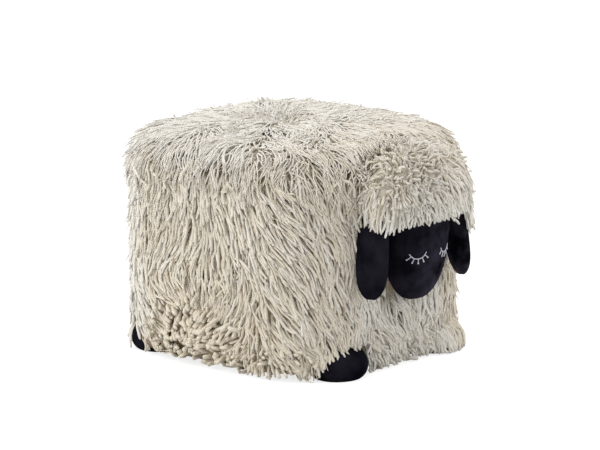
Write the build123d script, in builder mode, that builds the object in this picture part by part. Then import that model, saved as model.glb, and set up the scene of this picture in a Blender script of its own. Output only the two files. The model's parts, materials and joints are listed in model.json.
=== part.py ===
from build123d import *

import math
import os

# A sheep-shaped wool pouf. Millimetres, +Z up, the face towards -Y, the floor at Z = 0 and the
# origin below the middle of the overall length and width.

# Body: a filled block under long wool, a rounded rectangle in plan with a soft crown
body_width = 404.0
body_length = 414.0
body_height = 340.0
corner_radius = 115.0
crown_rise = 8.0
top_round = 55.0
hem_round = 14.0
hem_height = 3.0
seam_drop = 28.0
pile_depth = 26.0

# Base, inner bag and filling
base_height = 36.0
canvas = 2.0
base_opening = 15.0
bag_gap = 5.0
bag_cloth = 1.2
layer_gap = 0.4

# Head: a stuffed muzzle that widens under a wool cap, both hung from the body's top
head_reach = 296.0
head_drop = 30.0
head_height = 202.0
crown_width = 177.0
crown_depth = 80.0
cap_drop = 2.0
cap_height = 102.0
cap_width = 218.0
cap_depth = 122.0
velvet = 1.5
sewn_gap = 0.3

# Height, width and depth of the head's sections, as shares of its height and crown
head_shares = (
    (0.00, 0.17, 0.22),
    (0.03, 0.33, 0.42),
    (0.10, 0.48, 0.62),
    (0.20, 0.60, 0.78),
    (0.34, 0.68, 0.87),
    (0.49, 0.71, 0.90),
    (0.61, 0.78, 0.93),
    (0.73, 0.965, 0.98),
    (0.82, 1.00, 1.00),
    (0.91, 0.87, 0.88),
    (0.97, 0.60, 0.62),
    (1.00, 0.32, 0.34),
)

# Height and size of the wool cap's sections, as shares of its height and width
cap_shares = (
    (0.00, 0.94),
    (0.12, 0.985),
    (0.30, 1.00),
    (0.52, 0.96),
    (0.72, 0.83),
    (0.87, 0.63),
    (0.96, 0.41),
    (1.00, 0.25),
)

# Closed eyes, embroidered as an arc with a fan of lashes
eye_offset = 31.0
eye_rise = 68.0
eye_radius = 16.0
eye_half_angle = 62.0
stitch_width = 2.0
stitch_raise = 1.2
stitch_gap = 0.2
lash_length = 8.0
lash_root_radius = 0.5
lash_tip_radius = 1.5
lash_angles = (-46.0, -23.0, 0.0, 23.0, 46.0)

# Ears: flat padded lobes that hang from a sewn root above the cap's rim
ear_rise = 20.0
ear_offset = 90.0
ear_setback = 4.4
ear_length = 133.0
ear_width = 52.0
ear_thickness = 20.0
ear_root_radius = 4.0
ear_root_width = 40.0
ear_splay = 7.0
ear_lean = 3.0
ear_turn = 12.0
ear_gate_margin = 8.0
ear_gate_inside = 45.0

# Distance down the ear, width, thickness and turn of its sections, as shares of the ear
ear_shares = (
    (0.00, 0.73, 0.38, 0.00),
    (0.10, 0.86, 0.66, 0.20),
    (0.27, 0.97, 0.92, 0.60),
    (0.52, 1.00, 1.00, 1.00),
    (0.74, 0.96, 0.94, 1.00),
    (0.88, 0.79, 0.76, 1.00),
    (0.96, 0.53, 0.54, 1.00),
    (1.00, 0.28, 0.32, 1.00),
)

# Feet: stuffed lumps with a flat sole, set in from the block's sides and ends
foot_width = 92.0
foot_depth = 86.0
foot_height = 48.0
sole = 2.0
front_foot_inset = 91.0
front_foot_setback = 27.0
rear_foot_inset = 58.0
rear_foot_setback = 69.0

# Height and size of a foot's sections, as shares of its height and width
foot_shares = (
    (0.00, 0.80),
    (0.10, 0.91),
    (0.32, 1.00),
    (0.60, 0.95),
    (0.80, 0.79),
    (0.93, 0.54),
    (1.00, 0.32),
)

# Zip across the base: two tapes with moulded teeth, two stops, a slider and its pull
zip_margin = 35.2
tape_width = 13.0
tape_thickness = 0.8
tape_split = 2.2
tape_tail = 8.0
tooth_pitch = 3.2
tooth_width = 1.3
tooth_height = 2.2
tooth_lap = 0.8
tooth_shoulder = 0.9
tooth_hold = 1.2
stop_length = 3.0
slider_length = 13.0
slider_width = 11.0
slider_tail = 8.0
slider_corner = 1.6
slider_wall = 1.3
slider_gap = 0.25
bridge_width = 3.0
bridge_height = 4.2
bridge_span = 8.0
bridge_wall = 1.2
bridge_corner = 1.0
pull_length = 20.0
pull_width = 7.0
pull_thickness = 1.4
pull_corner = 2.4
pull_bar_radius = 1.0
pull_hole_radius = 1.3
pin_gap = 0.2

# Share of a circle in an oval's ends, where the rest follows its slenderness
oval_end_share = 0.35
overrun = 5.0

body_y = (head_reach - body_length / 2) / 2
head_y = body_y - head_reach + cap_depth / 2
seam_height = body_height - seam_drop
chin_height = body_height - head_drop - head_height
eye_height = chin_height + eye_rise
cap_rim_height = body_height - cap_drop - cap_height
ear_height = cap_rim_height + ear_rise
ear_y = head_y + ear_setback
front_foot_x = body_width / 2 - front_foot_inset
front_foot_y = body_y - body_length / 2 + front_foot_setback
rear_foot_x = body_width / 2 - rear_foot_inset
rear_foot_y = body_y + body_length / 2 - rear_foot_setback
feet_places = {
    "front_left": (front_foot_x, front_foot_y),
    "front_right": (-front_foot_x, front_foot_y),
    "rear_left": (rear_foot_x, rear_foot_y),
    "rear_right": (-rear_foot_x, rear_foot_y),
}
zip_length = body_width - 2 * (pile_depth + zip_margin)

os.makedirs("parts", exist_ok=True)


def save(piece, name):
    """Label a finished piece and write it under the same name."""
    piece.part.label = name
    export_step(piece.part, f"parts/{name}.step")


def oval(half_length, half_width):
    """Face inside four tangent arcs close to an ellipse, longest along the sketch's X."""
    slimness = half_width / half_length
    end_radius = half_width * (oval_end_share + (1 - oval_end_share) * slimness)
    end_centre = half_length - end_radius
    side_radius = (end_centre**2 + half_width**2 - end_radius**2) / (2 * (half_width - end_radius))
    turn = math.atan2(side_radius - half_width, end_centre)
    joint_x = end_centre + end_radius * math.cos(turn)
    joint_y = end_radius * math.sin(turn)
    with BuildLine() as outline:
        ThreePointArc((-joint_x, joint_y), (0, half_width), (joint_x, joint_y))
        ThreePointArc((joint_x, joint_y), (half_length, 0), (joint_x, -joint_y))
        ThreePointArc((joint_x, -joint_y), (0, -half_width), (-joint_x, -joint_y))
        ThreePointArc((-joint_x, -joint_y), (-half_length, 0), (-joint_x, joint_y))
    return make_face(outline.edges(), mode=Mode.PRIVATE)


def block_form(skin, bottom, top):
    """Straight-sided block with the body's plan, drawn in by a skin's thickness."""
    with BuildPart() as form:
        with BuildSketch(Plane((0, body_y, bottom))):
            RectangleRounded(body_width - 2 * skin, body_length - 2 * skin, corner_radius - skin)
        extrude(amount=top - bottom)
    return form.part


def body_form(skin, bottom, bottom_round=0):
    """Cushion shape of the body above a level, drawn in by a skin's thickness."""
    top = body_height - skin
    crown_radius = (body_length**2 / 4 + crown_rise**2) / (2 * crown_rise)
    with BuildPart() as form:
        add(block_form(skin, bottom, top))
        with Locations((0, body_y, top - crown_radius)):
            Sphere(crown_radius, rotation=(90, 0, 0), mode=Mode.INTERSECT)
        fillet(form.faces().sort_by(Axis.Z)[-1].edges(), top_round - skin)
        if bottom_round:
            fillet(form.faces().sort_by(Axis.Z)[0].edges(), bottom_round)
    return form.part


def head_form(skin):
    """Whole shape of the stuffed head, drawn in all round by a skin's thickness."""
    with BuildPart() as form:
        for height_share, width_share, depth_share in head_shares:
            height = chin_height + skin + height_share * (head_height - 2 * skin)
            with BuildSketch(Plane((0, head_y, height))):
                add(oval(width_share * crown_width / 2 - skin, depth_share * crown_depth / 2 - skin))
        loft()
    return form.part


def ear_root(side, clearance):
    """Roll along an ear's root, which lies front to back on the line that the ear turns on."""
    with BuildPart() as form:
        with BuildSketch(Plane(origin=(side * ear_offset, ear_y, ear_height), z_dir=(0, 1, 0))):
            Circle(ear_root_radius + clearance)
        extrude(amount=ear_root_width / 2 + clearance, both=True)
    return form.part


def sewn_head_form(skin):
    """Head drawn in by a skin's thickness, flat at the body and grooved for the ears' roots."""
    with BuildPart() as form:
        add(head_form(skin))
        add(block_form(-sewn_gap - skin, 0, body_height), mode=Mode.SUBTRACT)
        for side in (-1, 1):
            add(ear_root(side, sewn_gap + skin), mode=Mode.SUBTRACT)
    return form.part


def ear_plane(side, distance, turn):
    """Plane across the ear at a distance down from its root, with X along its width."""
    outward = side * math.sin(math.radians(ear_splay))
    forward = -math.sin(math.radians(ear_lean))
    down = -math.sqrt(1 - outward**2 - forward**2)
    run = Vector(outward, forward, down)
    root = Vector(side * ear_offset, ear_y, ear_height)
    width = Vector(side * math.sin(math.radians(turn)), math.cos(math.radians(turn)), 0)
    return Plane(origin=root + run * distance, x_dir=width.cross(run).cross(run), z_dir=run)


def ear_form(side, skin):
    """Shape of an ear's padded lobe, drawn in by a skin's thickness."""
    with BuildPart() as form:
        for length_share, width_share, thick_share, turn_share in ear_shares:
            distance = skin + length_share * (ear_length - 2 * skin)
            with BuildSketch(ear_plane(side, distance, turn_share * ear_turn)):
                add(oval(width_share * ear_width / 2 - skin, thick_share * ear_thickness / 2 - skin))
        loft()
    return form.part


def foot_form(x, y, skin):
    """Shape of a foot standing at x and y, drawn in by a skin's thickness."""
    with BuildPart() as form:
        for height_share, size_share in foot_shares:
            height = height_share * (foot_height - skin)
            with BuildSketch(Plane((x, y, height))):
                add(oval(size_share * foot_width / 2 - skin, size_share * foot_depth / 2 - skin))
        loft()
    return form.part


def sewn_foot_form(x, y, skin):
    """Foot drawn in by a skin's thickness, cut away where the base and the filling are."""
    clearance = layer_gap + skin
    with BuildPart() as form:
        add(foot_form(x, y, skin))
        add(block_form(pile_depth - clearance, base_height - clearance, body_height), mode=Mode.SUBTRACT)
    return form.part


# Wool cover: a top panel inside its seam, and a band of four panels that hangs over the feet
with BuildPart() as wool_cover:
    add(body_form(0, hem_height, hem_round))
    add(body_form(pile_depth, -overrun), mode=Mode.SUBTRACT)

with BuildPart() as wool_top_panel:
    add(wool_cover.part)
    split(bisect_by=Plane.XY.offset(seam_height), keep=Keep.TOP)
save(wool_top_panel, "wool_top_panel")

with BuildPart() as wool_band:
    add(wool_cover.part)
    split(bisect_by=Plane.XY.offset(seam_height), keep=Keep.BOTTOM)
    for foot_x, foot_y in feet_places.values():
        add(foot_form(foot_x, foot_y, -layer_gap), mode=Mode.SUBTRACT)

# The left and right panels take the rounded corners, so the front and rear ones are flat
corner_seam_x = body_width / 2 - corner_radius
for side, name in ((1, "left"), (-1, "right")):
    with BuildPart() as wool_side_panel:
        add(wool_band.part)
        split(bisect_by=Plane((side * corner_seam_x, 0, 0), z_dir=(side, 0, 0)), keep=Keep.TOP)
    save(wool_side_panel, f"wool_side_{name}")

for side, name in ((-1, "front"), (1, "rear")):
    with BuildPart() as wool_end_panel:
        add(wool_band.part)
        split(bisect_by=Plane((0, body_y, 0), z_dir=(0, side, 0)), keep=Keep.TOP)
        for corner in (-1, 1):
            split(bisect_by=Plane((corner * corner_seam_x, 0, 0), z_dir=(corner, 0, 0)), keep=Keep.BOTTOM)
    save(wool_end_panel, f"wool_side_{name}")

# Base: two canvas halves, open between them over the zip
opening_length = zip_length + 2 * stop_length
panel_width = body_width - 2 * (pile_depth + layer_gap)
panel_length = body_length - 2 * (pile_depth + layer_gap)
for place, keep in (("front", Keep.BOTTOM), ("rear", Keep.TOP)):
    with BuildPart() as base_panel:
        with BuildSketch(Plane((0, body_y, base_height))):
            RectangleRounded(panel_width, panel_length, corner_radius - pile_depth - layer_gap)
            Rectangle(opening_length, base_opening, mode=Mode.SUBTRACT)
        extrude(amount=canvas)
        split(bisect_by=Plane((0, body_y, 0), z_dir=(0, 1, 0)), keep=keep)
    save(base_panel, f"base_panel_{place}")

bag_bottom = base_height + canvas + bag_gap
with BuildPart() as inner_bag:
    add(body_form(pile_depth + layer_gap, bag_bottom))
    add(body_form(pile_depth + layer_gap + bag_cloth, bag_bottom + bag_cloth), mode=Mode.SUBTRACT)
save(inner_bag, "inner_bag")

with BuildPart() as bead_filling:
    add(body_form(pile_depth + bag_cloth + 2 * layer_gap, bag_bottom + bag_cloth + layer_gap))
save(bead_filling, "bead_filling")

# Head: a velvet skin round its stuffing, its back pressed against the band
with BuildPart() as head_cover:
    add(sewn_head_form(0))
    add(sewn_head_form(velvet), mode=Mode.SUBTRACT)
save(head_cover, "head_cover")

with BuildPart() as head_filling:
    add(sewn_head_form(velvet + layer_gap))
save(head_filling, "head_filling")

# Wool cap over the head, cut away at the sides so that the ears can swing
gate_top = ear_height + ear_thickness / 2 + ear_gate_margin
with BuildPart() as head_wool_cap:
    for height_share, size_share in cap_shares:
        with BuildSketch(Plane((0, head_y, cap_rim_height + height_share * cap_height))):
            add(oval(size_share * cap_width / 2, size_share * cap_depth / 2))
    loft()
    add(head_form(-sewn_gap), mode=Mode.SUBTRACT)
    add(body_form(-sewn_gap, 0), mode=Mode.SUBTRACT)
    for side in (-1, 1):
        with BuildSketch(Plane((side * cap_width / 2, ear_y, gate_top))):
            Rectangle(cap_width - 2 * ear_gate_inside, ear_width + 2 * ear_gate_margin)
        extrude(amount=cap_rim_height - gate_top - overrun, mode=Mode.SUBTRACT)
save(head_wool_cap, "head_wool_cap")

# Closed eyes in raised thread: an arc with a fan of lashes that thicken to their tips
with BuildSketch() as lash:
    with Locations((eye_radius, 0)):
        Circle(lash_root_radius)
    with Locations((eye_radius + lash_length - lash_tip_radius, 0)):
        Circle(lash_tip_radius)
    make_hull()

for side, name in ((1, "left"), (-1, "right")):
    eye_centre = (side * eye_offset, head_y, eye_height + eye_radius)
    with BuildPart() as eyelash:
        with BuildSketch(Plane(origin=eye_centre, x_dir=(1, 0, 0), z_dir=(0, -1, 0))):
            with BuildLine():
                CenterArc((0, 0), eye_radius, -90 - eye_half_angle, 2 * eye_half_angle)
            trace(line_width=stitch_width)
            for lash_angle in lash_angles:
                add(lash.sketch, rotation=lash_angle - 90)
        extrude(amount=crown_depth)
        add(head_form(-stitch_raise), mode=Mode.INTERSECT)
        add(head_form(-stitch_gap), mode=Mode.SUBTRACT)
    save(eyelash, f"eyelash_{name}")

# Ears: a velvet skin round a thin wadding, with a sewn roll at the root
for side, name in ((1, "left"), (-1, "right")):
    with BuildPart() as ear_cover:
        add(ear_form(side, 0))
        add(ear_root(side, 0))
        add(ear_form(side, velvet), mode=Mode.SUBTRACT)
    save(ear_cover, f"ear_{name}_cover")

    with BuildPart() as ear_wadding:
        add(ear_form(side, velvet + layer_gap))
    save(ear_wadding, f"ear_{name}_wadding")

# Feet: each has a velvet upper, a flat sole and a filling, and fits up under the base
for name, (foot_x, foot_y) in feet_places.items():
    with BuildPart() as foot_cover:
        add(sewn_foot_form(foot_x, foot_y, 0))
        add(sewn_foot_form(foot_x, foot_y, velvet), mode=Mode.SUBTRACT)
        split(bisect_by=Plane.XY.offset(sole), keep=Keep.TOP)
    save(foot_cover, f"foot_{name}_cover")

    with BuildPart() as foot_sole:
        add(foot_form(foot_x, foot_y, 0))
        split(bisect_by=Plane.XY.offset(sole), keep=Keep.BOTTOM)
    save(foot_sole, f"foot_{name}_sole")

    with BuildPart() as foot_filling:
        add(sewn_foot_form(foot_x, foot_y, velvet + layer_gap))
        split(bisect_by=Plane.XY.offset(sole + layer_gap), keep=Keep.TOP)
    save(foot_filling, f"foot_{name}_filling")

# Zip: the tapes lie on the base over its opening, and the two rows of teeth mesh below them
chain_height = base_height + canvas
tooth_reach = tape_split / 2 + tooth_hold
shoulder_start = tooth_lap / 2 + pin_gap
tooth_count = math.floor(zip_length / tooth_pitch) - 1
for side, place in ((-1, "front"), (1, "rear")):
    with BuildPart() as zip_tape:
        with BuildSketch(Plane((0, body_y, chain_height))):
            with Locations((0, side * (tape_split + tape_width) / 2)):
                Rectangle(opening_length + 2 * tape_tail, tape_width)
        extrude(amount=tape_thickness)
    save(zip_tape, f"zip_tape_{place}")

    with BuildPart() as zip_teeth:
        with BuildSketch(Plane((side * tooth_pitch / 4, body_y, chain_height))):
            with GridLocations(tooth_pitch, 0, tooth_count, 1):
                with Locations((0, side * (tooth_reach - tooth_lap / 2) / 2)):
                    Rectangle(tooth_width, tooth_reach + tooth_lap / 2)
                with Locations((0, side * (tooth_reach + shoulder_start) / 2)):
                    Rectangle(tooth_width + tooth_shoulder, tooth_reach - shoulder_start)
        extrude(amount=-tooth_height)
    save(zip_teeth, f"zip_teeth_{place}")

for side, name in ((1, "left"), (-1, "right")):
    with BuildPart() as zip_stop:
        with BuildSketch(Plane((side * (zip_length + stop_length) / 2, body_y, chain_height))):
            Rectangle(stop_length, 2 * tooth_reach)
        extrude(amount=-tooth_height)
    save(zip_stop, f"zip_stop_{name}")

# Slider: two wings hold the chain between them. The post that joins them on a real slider
# parts the teeth as it passes, and these teeth stay closed, so it is left out
slider_x = (zip_length - slider_length) / 2 - pin_gap
lower_wing_top = chain_height - tooth_height - slider_gap
lower_wing_bottom = lower_wing_top - slider_wall
half_length = slider_length / 2
with BuildSketch() as wing:
    Polygon(
        (half_length, slider_width / 2),
        (-half_length, slider_tail / 2),
        (-half_length, -slider_tail / 2),
        (half_length, -slider_width / 2),
        align=None,
    )
    fillet(wing.vertices(), slider_corner)

with BuildSketch() as flanges:
    add(wing.sketch)
    Polygon(
        (half_length, slider_width / 2 - slider_wall),
        (-half_length, slider_tail / 2 - slider_wall),
        (-half_length, slider_wall - slider_tail / 2),
        (half_length, slider_wall - slider_width / 2),
        align=None,
        mode=Mode.SUBTRACT,
    )

with BuildPart() as zip_slider:
    with BuildSketch(Plane((slider_x, body_y, lower_wing_bottom))):
        add(wing.sketch)
    extrude(amount=slider_wall)
    with BuildSketch(Plane((slider_x, body_y, lower_wing_top))):
        add(flanges.sketch)
    extrude(amount=tooth_height)
    with BuildSketch(Plane((slider_x, body_y, chain_height + tape_thickness + slider_gap))):
        add(wing.sketch)
    extrude(amount=slider_wall)
    bridge_plane = Plane(origin=(slider_x, body_y, lower_wing_bottom), x_dir=(1, 0, 0), z_dir=(0, 1, 0))
    with BuildSketch(bridge_plane) as bridge:
        Rectangle(bridge_span, bridge_height, align=(Align.CENTER, Align.MIN))
        fillet(bridge.vertices().group_by(Axis.Y)[-1], bridge_corner)
        Rectangle(
            bridge_span - 2 * bridge_wall,
            bridge_height - bridge_wall,
            align=(Align.CENTER, Align.MIN),
            mode=Mode.SUBTRACT,
        )
    extrude(amount=bridge_width / 2, both=True)
save(zip_slider, "zip_slider")

# Pull: hangs straight down from its bar, which turns in the tunnel under the bridge
bar_height = lower_wing_bottom - (bridge_height - bridge_wall) / 2
swing_radius = math.hypot(bridge_span / 2, bar_height - lower_wing_bottom + bridge_height) + pin_gap
with BuildPart() as zip_pull:
    with BuildSketch(Plane((slider_x, body_y, bar_height), x_dir=(0, 1, 0), z_dir=(1, 0, 0))) as pull:
        with Locations((0, pull_bar_radius - pull_length / 2)):
            RectangleRounded(pull_width, pull_length, pull_corner)
        with Locations((0, -swing_radius / 2)):
            Rectangle(bridge_width + 2 * pin_gap, swing_radius, mode=Mode.SUBTRACT)
        with Locations((0, pull_bar_radius + pull_corner - pull_length)):
            Circle(pull_hole_radius, mode=Mode.SUBTRACT)
    extrude(amount=pull_thickness / 2, both=True)
    with Locations((slider_x, body_y, bar_height)):
        Cylinder(pull_bar_radius, bridge_width + 2 * pin_gap, rotation=(90, 0, 0))
save(zip_pull, "zip_pull")
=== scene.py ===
# %% [markdown]
# # A sheep-shaped pouf in long wool
# The real thing is a filled block under a shaggy wool cover, with a velvet head, two velvet
# ears, four velvet feet and a zip across its base. The construction already exists as rigid
# solids, and this lesson dresses it: yarn by yarn where there is wool, and as stuffed cloth
# where there is velvet. Everything is in metres, in the frame of those solids.

# %% Load the frame
import json
import math

import bmesh
import bpy
import numpy as np
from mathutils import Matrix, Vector
from mathutils.bvhtree import BVHTree
from mathutils.kdtree import KDTree


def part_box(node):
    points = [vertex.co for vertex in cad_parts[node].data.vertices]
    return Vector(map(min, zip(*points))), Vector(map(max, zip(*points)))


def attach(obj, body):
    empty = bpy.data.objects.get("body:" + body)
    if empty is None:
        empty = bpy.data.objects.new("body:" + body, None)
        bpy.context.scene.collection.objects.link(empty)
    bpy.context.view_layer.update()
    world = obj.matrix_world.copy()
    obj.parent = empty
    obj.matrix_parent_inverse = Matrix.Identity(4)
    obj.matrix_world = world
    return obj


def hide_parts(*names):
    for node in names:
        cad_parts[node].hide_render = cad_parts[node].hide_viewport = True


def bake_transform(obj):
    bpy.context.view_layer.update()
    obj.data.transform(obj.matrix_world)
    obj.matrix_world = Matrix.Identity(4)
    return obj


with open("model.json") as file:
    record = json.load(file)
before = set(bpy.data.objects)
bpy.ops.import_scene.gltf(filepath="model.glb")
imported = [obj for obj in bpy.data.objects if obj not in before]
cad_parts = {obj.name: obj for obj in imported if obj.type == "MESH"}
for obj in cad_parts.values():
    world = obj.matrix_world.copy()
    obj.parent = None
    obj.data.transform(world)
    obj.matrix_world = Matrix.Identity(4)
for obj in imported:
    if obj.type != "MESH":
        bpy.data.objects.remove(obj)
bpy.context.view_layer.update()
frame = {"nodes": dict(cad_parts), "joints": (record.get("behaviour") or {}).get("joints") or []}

nodes = frame["nodes"]

# %% [markdown]
# ## Places that everything else hangs from
# The sizes are read from the solids, so the wool follows them if they change. Only what the
# solids don't hold is typed here, such as how long a yarn is.

# %% Main sizes
MM = 0.001
band_nodes = sorted(name for name in nodes if name.startswith("wool_side"))
band_boxes = [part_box(name) for name in band_nodes]
band_low = Vector(min(box[0][axis] for box in band_boxes) for axis in range(3))
band_high = Vector(max(box[1][axis] for box in band_boxes) for axis in range(3))
cap_low, cap_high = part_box("head_wool_cap")

body_half = (band_high - band_low) / 2
body_middle = (band_high + band_low) / 2
body_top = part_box("wool_top_panel")[1].z
corner_radius = 115 * MM
top_round = 55 * MM
crown_rise = 8 * MM

cap_front = cap_low.y
cap_half = Vector((cap_high.x, 61 * MM, 75 * MM))
cap_middle = Vector((0, cap_front + cap_half.y, cap_high.z - cap_half.z))
cap_rim = cap_low.z

ear_hinge = {}
for joint in frame["joints"]:
    if joint["child"] in ("left_ear", "right_ear"):
        ear_hinge[joint["child"]] = Vector(joint["pos_m"])

feet = ("front_left", "front_right", "rear_left", "rear_right")
foot_box = {name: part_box(f"foot_{name}_cover") for name in feet}
print("body top", round(body_top, 3), "ears turn at", ear_hinge)

# %% [markdown]
# ## Shader arithmetic
# A material is a small program. Wrapping a socket in a class that knows plus, minus and times
# lets the program be read as a formula. Colours take another way, through Mix nodes, because a
# Math node turns a colour grey.

# %% A socket that can be calculated with
class Wire:
    """An output socket of a node tree that arithmetic can be done on."""

    def __init__(self, tree, socket):
        self.tree = tree
        self.socket = socket

    def math(self, operation, first, second=0.0):
        return self.tree.node("ShaderNodeMath", {"operation": operation}, {0: first, 1: second})

    def __add__(self, other):
        return self.math("ADD", self, other)

    def __mul__(self, other):
        return self.math("MULTIPLY", self, other)

    def __sub__(self, other):
        return self.math("SUBTRACT", self, other)

    def __rsub__(self, other):
        return self.math("SUBTRACT", other, self)

    def __pow__(self, other):
        return self.math("POWER", self, other)

    __radd__ = __add__
    __rmul__ = __mul__

    def sine(self):
        return self.math("SINE", self)

    def floor(self):
        return self.math("FLOOR", self)

    def clamped(self):
        return self.math("MINIMUM", self.math("MAXIMUM", self, 0.0), 1.0)


# %% A material that nodes are added to
class Finish:
    """A new material, with one method that adds any node to it."""

    def __init__(self, name):
        self.material = bpy.data.materials.new(name)
        self.material.use_nodes = True
        self.tree = self.material.node_tree
        self.tree.nodes.clear()

    def node(self, kind, settings=None, sockets=None, output=0):
        made = self.tree.nodes.new(kind)
        for name, value in (settings or {}).items():
            setattr(made, name, value)
        for name, value in (sockets or {}).items():
            if isinstance(value, Wire):
                self.tree.links.new(value.socket, made.inputs[name])
            else:
                made.inputs[name].default_value = value
        return Wire(self, made.outputs[output]) if made.outputs else None

    def mix(self, share, first, second):
        first = first if isinstance(first, Wire) else (*first, 1.0)
        second = second if isinstance(second, Wire) else (*second, 1.0)
        return self.node("ShaderNodeMix", {"data_type": "RGBA"}, {0: share, 6: first, 7: second}, 2)

    def place(self, scale=(1, 1, 1)):
        where = self.node("ShaderNodeTexCoord", output=3)
        return self.node("ShaderNodeMapping", sockets={"Vector": where, "Scale": scale})

    def noise(self, vector, scale, detail=2.0, roughness=0.5):
        sockets = {"Vector": vector, "Scale": scale, "Detail": detail, "Roughness": roughness}
        return self.node("ShaderNodeTexNoise", sockets=sockets)

    def bump(self, height, distance, strength=1.0):
        sockets = {"Height": height, "Distance": distance, "Strength": strength}
        return self.node("ShaderNodeBump", sockets=sockets)

    def done(self, colour, roughness, bump, **constants):
        sockets = {"Base Color": colour, "Roughness": roughness, "Normal": bump}
        for name, value in constants.items():
            sockets[name.replace("_", " ")] = value
        surface = self.node("ShaderNodeBsdfPrincipled", sockets=sockets)
        self.node("ShaderNodeOutputMaterial", sockets={"Surface": surface})
        return self.material


# %% [markdown]
# ## The yarn's finish
# Each yarn of the pile is felted wool: cream at its tip, with shade painted darker and browner
# towards its root, where the light doesn't reach, and with a faint twist. The yarns carry their own
# map. Across it lie a number of columns, from the warmest tint to the palest, and up it runs the
# yarn from root to tip. So thousands of yarns share a few painted ones, and a yarn is made paler
# by moving it to a later column.

# %% Yarn material
yarn_columns = 24
twist_rate = 95.0
bake_map = "OFBake"


def yarn_finish(name, tip, pale_tip, root, pale_root):
    """Wool yarn that goes from warm to pale by column, with shade painted darker towards its root.
    """
    finish = Finish(name)
    coordinates = finish.node("ShaderNodeUVMap", {"uv_map": bake_map})
    across = finish.node("ShaderNodeSeparateXYZ", sockets={0: coordinates}) * yarn_columns
    along = finish.node("ShaderNodeSeparateXYZ", sockets={0: coordinates}, output=1)
    column = across.floor()
    chance = finish.node("ShaderNodeTexWhiteNoise", {"noise_dimensions": "1D"}, {"W": column})
    paleness = column * (0.86 / yarn_columns) + chance * 0.14
    stretched = {"Vector": coordinates, "Scale": (yarn_columns * 2.0, 9.0, 1.0)}
    fleck = finish.noise(finish.node("ShaderNodeMapping", sockets=stretched), 1.5, 3.0, 0.6)
    colour = finish.mix(paleness, tip, pale_tip)
    shade = finish.mix(paleness, root, pale_root)
    colour = finish.mix((fleck - 0.45).clamped() * 1.1, colour, shade)
    # Painted shade: towards its root the yarn takes the darker colour, as little light reaches down
    # there.
    colour = finish.mix(((1 - along) ** 2.2) * 0.9, colour, shade)
    twist = ((across - column) * math.tau + along * twist_rate).sine()
    height = twist * 0.5 + fleck
    return finish.done(colour, 0.86 - fleck * 0.12, finish.bump(height, 0.4 * MM, 0.7),
                       Sheen_Weight=0.25, Sheen_Roughness=0.5, Specular_IOR_Level=0.2)


cream = (0.79, 0.71, 0.57)
pale_cream = (0.81, 0.795, 0.755)
# Colours of the painted shade at the roots, for warm yarns and for pale ones.
root_shade_colour = (0.36, 0.28, 0.17)
pale_shade_colour = (0.73, 0.69, 0.62)
wool_yarn = yarn_finish("wool yarn", cream, pale_cream, root_shade_colour, pale_shade_colour)
print("yarn material has", yarn_columns, "tints")

# %% [markdown]
# ## Cloth finishes
# Under the yarns lies the felted ground that they are tufted into. Velvet is short pile: almost
# black, with a soft violet light where its fibres are seen from the side, which is what sheen
# is for. Canvas, lining and zip tape are plain weaves, made of two waves that cross.

# %% Woven, felted and velvet materials
def felt_finish(name, light, dark):
    """Matted wool ground with curls a few millimetres across."""
    finish = Finish(name)
    where = finish.place()
    curls = finish.noise(where, 170.0, 4.0, 0.6)
    patches = finish.noise(where, 22.0, 2.0)
    colour = finish.mix((curls * 1.6 - 0.3).clamped(), dark, light)
    colour = finish.mix(patches * 0.35, colour, dark)
    return finish.done(colour, 0.95 - patches * 0.06, finish.bump(curls, 3 * MM),
                       Sheen_Weight=0.2, Specular_IOR_Level=0.15)


def velvet_finish(name, deep, painted_sheen):
    """Short dense pile, with sheen painted lighter into its colour in patches and towards the left
    of the object, where light falls from the side.
    """
    finish = Finish(name)
    where = finish.place()
    pile = finish.noise(where, 1400.0, 2.0, 0.7)
    strokes = finish.noise(where, 26.0, 3.0, 0.55)
    east = finish.node("ShaderNodeSeparateXYZ", sockets={0: where})
    # Painted light: the colour is made lighter towards the object's left, on the lamp's side, and
    # in patches, standing in for the velvet's sheen.
    turned = (east * 9.0 + 0.5).clamped() * 0.75 + 0.25
    sheen_share = (strokes * 2.2 - 0.7).clamped() * turned
    colour = finish.mix(sheen_share * 0.9 + pile * 0.1, deep, painted_sheen)
    height = pile + strokes * 0.8
    return finish.done(colour, 0.72 + strokes * 0.16, finish.bump(height, 0.25 * MM, 0.6),
                       Sheen_Weight=0.28, Sheen_Roughness=0.13, Sheen_Tint=(0.48, 0.46, 0.60, 1.0),
                       Specular_IOR_Level=0.0)


def woven_finish(name, light, dark, threads_per_metre, depth=0.25 * MM):
    """Plain weave of threads that cross at right angles in the plane of the floor."""
    finish = Finish(name)
    where = finish.place()
    east = finish.node("ShaderNodeSeparateXYZ", sockets={0: where})
    north = finish.node("ShaderNodeSeparateXYZ", sockets={0: where}, output=1)
    warp = (east * (math.tau * threads_per_metre / 2)).sine()
    weft = (north * (math.tau * threads_per_metre / 2)).sine()
    weave = warp * weft * 0.5 + 0.5
    slub = finish.noise(where, 90.0, 3.0)
    colour = finish.mix(weave * 0.5 + slub * 0.45, dark, light)
    return finish.done(colour, 0.85 - slub * 0.1, finish.bump(weave + slub * 0.3, depth))


# Painted shade and light: the dark ground stands for the shade in the gaps between the yarns, and
# the pale one is painted light on the seat and the rear and also dresses the cap.
gap_shade_felt = felt_finish("wool ground", (0.56, 0.47, 0.34), (0.20, 0.15, 0.09))
pale_felt = felt_finish("pale wool ground", (0.80, 0.76, 0.68), (0.60, 0.55, 0.46))
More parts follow.
